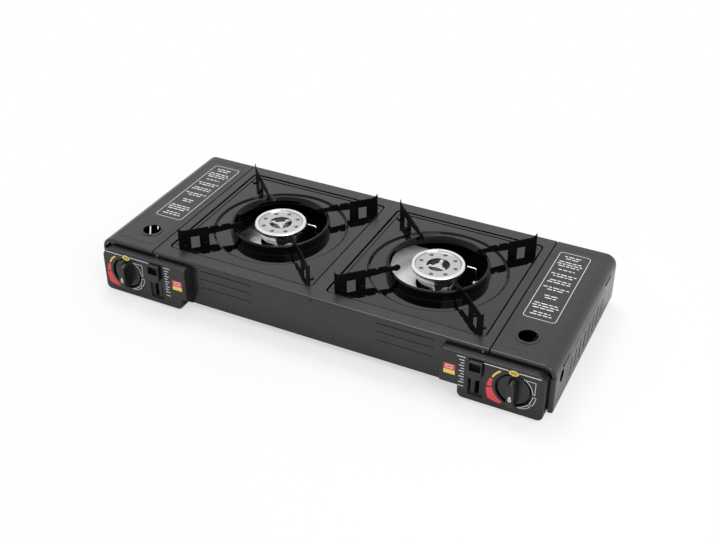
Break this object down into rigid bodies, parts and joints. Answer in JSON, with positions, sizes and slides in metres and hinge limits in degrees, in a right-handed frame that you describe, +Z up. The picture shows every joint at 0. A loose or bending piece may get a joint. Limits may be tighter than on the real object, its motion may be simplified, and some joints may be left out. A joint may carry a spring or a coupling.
{
  "type": "two-burner camping stove",
  "caption": "Low black tabletop gas stove with burners side by side, drip trays with pan arms, and a cartridge bay under a hinged lid at each end.",
  "frame": {"origin": "on the surface that the stove stands on, in the middle of its outer box", "axes": "+X to the right along the stove, +Y to the back, +Z up; the knobs face -Y"},
  "size_m": [0.6704, 0.3015, 0.1053],
  "materials": {
    "casing_paint": "satin powder coat",
    "black_enamel": "gloss enamel",
    "panel_plastic": "fine moulded texture",
    "knob_plastic": "satin moulded",
    "burner_steel": "brushed and polished",
    "bright_plate": "galvanised",
    "brass_fitting": "turned",
    "gas_pipe": "drawn",
    "screw_steel": "bright",
    "white_insulator": "glazed",
    "lead_sleeve": "sleeve",
    "foot_rubber": "matte"
  },
  "bodies": {
    "casing": {"base_pan": "casing_paint", "top_plate": "casing_paint", "rubber_feet": "foot_rubber", "casing_screws": "screw_steel", "panel_screws": "screw_steel", "left_end_wall": "casing_paint", "left_lid_hinge_pins": "casing_paint", "left_bay_wall": "bright_plate", "left_cartridge_cradle": "bright_plate", "left_control_panel": "panel_plastic", "left_regulator": "brass_fitting", "left_gas_tube": "gas_pipe", "left_piezo_igniter": "panel_plastic", "left_burner_body": "burner_steel", "left_burner_bracket": "bright_plate", "left_spark_electrode": "screw_steel", "left_electrode_insulator": "white_insulator", "left_heat_shield": "bright_plate", "left_burner_cap": "burner_steel", "left_cap_screws": "screw_steel", "left_ignition_lead": "lead_sleeve", "right_end_wall": "casing_paint", "right_lid_hinge_pins": "casing_paint", "right_bay_wall": "bright_plate", "right_cartridge_cradle": "bright_plate", "right_control_panel": "panel_plastic", "right_regulator": "brass_fitting", "right_gas_tube": "gas_pipe", "right_piezo_igniter": "panel_plastic", "right_burner_body": "burner_steel", "right_burner_bracket": "bright_plate", "right_spark_electrode": "screw_steel", "right_electrode_insulator": "white_insulator", "right_heat_shield": "bright_plate", "right_burner_cap": "burner_steel", "right_cap_screws": "screw_steel", "right_ignition_lead": "lead_sleeve"},
    "left_lid": {"left_lid": "casing_paint"},
    "left_knob": {"left_knob": "knob_plastic", "left_valve_stem": "brass_fitting"},
    "left_lever": {"left_lock_lever": "knob_plastic"},
    "left_latch": {"left_cartridge_latch": "bright_plate"},
    "left_tray": {"left_drip_tray": "black_enamel", "left_back_right_pan_arm": "black_enamel", "left_back_left_pan_arm": "black_enamel", "left_front_left_pan_arm": "black_enamel", "left_front_right_pan_arm": "black_enamel", "left_arm_rivets": "black_enamel"},
    "right_lid": {"right_lid": "casing_paint"},
    "right_knob": {"right_knob": "knob_plastic", "right_valve_stem": "brass_fitting"},
    "right_lever": {"right_lock_lever": "knob_plastic"},
    "right_latch": {"right_cartridge_latch": "bright_plate"},
    "right_tray": {"right_drip_tray": "black_enamel", "right_back_right_pan_arm": "black_enamel", "right_back_left_pan_arm": "black_enamel", "right_front_left_pan_arm": "black_enamel", "right_front_right_pan_arm": "black_enamel", "right_arm_rivets": "black_enamel"}
  },
  "joints": [
    {"name": "left_lid_hinge", "type": "hinge", "parent": "casing", "child": "left_lid", "pos_m": [-0.3336, 0.0128, 0.064], "axis": [0, -1, 0], "range_deg": [0, 90]},
    {"name": "left_knob_turn", "type": "hinge", "parent": "casing", "child": "left_knob", "pos_m": [-0.286, -0.1332, 0.04], "axis": [0, -1, 0], "range_deg": [0, 140]},
    {"name": "left_lever_slide", "type": "slide", "parent": "casing", "child": "left_lever", "axis": [0, 0, -1], "range_m": [0, 0.028]},
    {"name": "left_latch_slide", "type": "slide", "parent": "casing", "child": "left_latch", "axis": [0, -1, 0], "range_m": [0, 0.006]},
    {"name": "left_tray_lift", "type": "slide", "parent": "casing", "child": "left_tray", "axis": [0, 0, 1], "range_m": [0, 0.06]},
    {"name": "right_lid_hinge", "type": "hinge", "parent": "casing", "child": "right_lid", "pos_m": [0.3336, 0.0128, 0.064], "axis": [0, 1, 0], "range_deg": [0, 90]},
    {"name": "right_knob_turn", "type": "hinge", "parent": "casing", "child": "right_knob", "pos_m": [0.286, -0.1332, 0.04], "axis": [0, -1, 0], "range_deg": [0, 140]},
    {"name": "right_lever_slide", "type": "slide", "parent": "casing", "child": "right_lever", "axis": [0, 0, -1], "range_m": [0, 0.028]},
    {"name": "right_latch_slide", "type": "slide", "parent": "casing", "child": "right_latch", "axis": [0, -1, 0], "range_m": [0, 0.006]},
    {"name": "right_tray_lift", "type": "slide", "parent": "casing", "child": "right_tray", "axis": [0, 0, 1], "range_m": [0, 0.06]}
  ],
  "couplings": [
    {"joint": "left_latch_slide", "follows": "left_lever_slide", "ratio": 0.21},
    {"joint": "right_latch_slide", "follows": "right_lever_slide", "ratio": 0.21}
  ]
}
